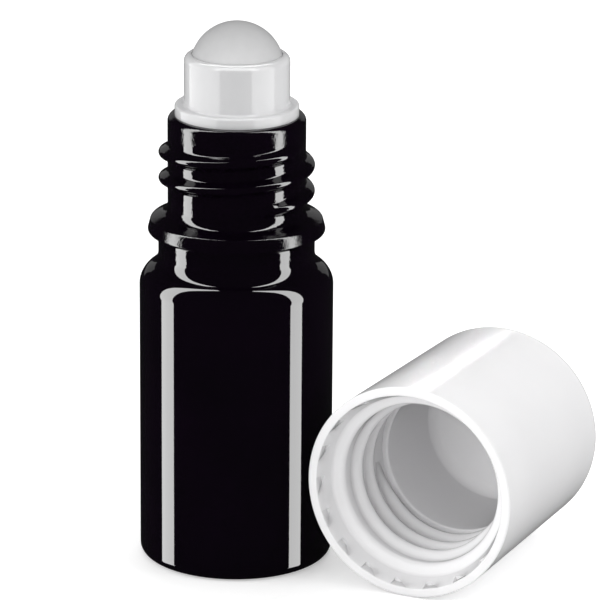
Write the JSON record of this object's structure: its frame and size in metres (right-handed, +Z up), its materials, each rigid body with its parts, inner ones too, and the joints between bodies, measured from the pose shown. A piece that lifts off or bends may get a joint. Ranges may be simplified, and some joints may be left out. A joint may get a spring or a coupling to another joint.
{
  "type": "roll-on bottle",
  "caption": "Small black glass roll-on bottle with a white roller-ball fitment in its threaded neck and a white screw cap lying beside it.",
  "frame": {"origin": "centre of the bottle's base, on the floor", "axes": "+Z up along the bottle's axis; +X from the bottle towards the cap that lies beside it; +Y along the cap, from its mouth to its closed end"},
  "size_m": [0.0472, 0.0338, 0.0626],
  "materials": {
    "black_glass": "polished, opaque violet-black",
    "fitment_plastic": "glossy, slightly translucent white",
    "ball_plastic": "satin light grey",
    "cap_plastic": "glossy white"
  },
  "bodies": {
    "bottle": {"glass_bottle": "black_glass", "roller_fitment": "fitment_plastic"},
    "ball": {"roller_ball": "ball_plastic"},
    "cap": {"screw_cap": "cap_plastic"}
  },
  "joints": [
    {"name": "ball_roll", "type": "hinge", "parent": "bottle", "child": "ball", "pos_m": [0, 0, 0.05732], "axis": [1, 0, 0], "continuous": true},
    {"name": "cap_turn", "type": "hinge", "parent": "bottle", "child": "cap", "pos_m": [0.0239, -0.0053, 0.0123], "axis": [0, 0.9999, -0.0121], "continuous": true}
  ]
}
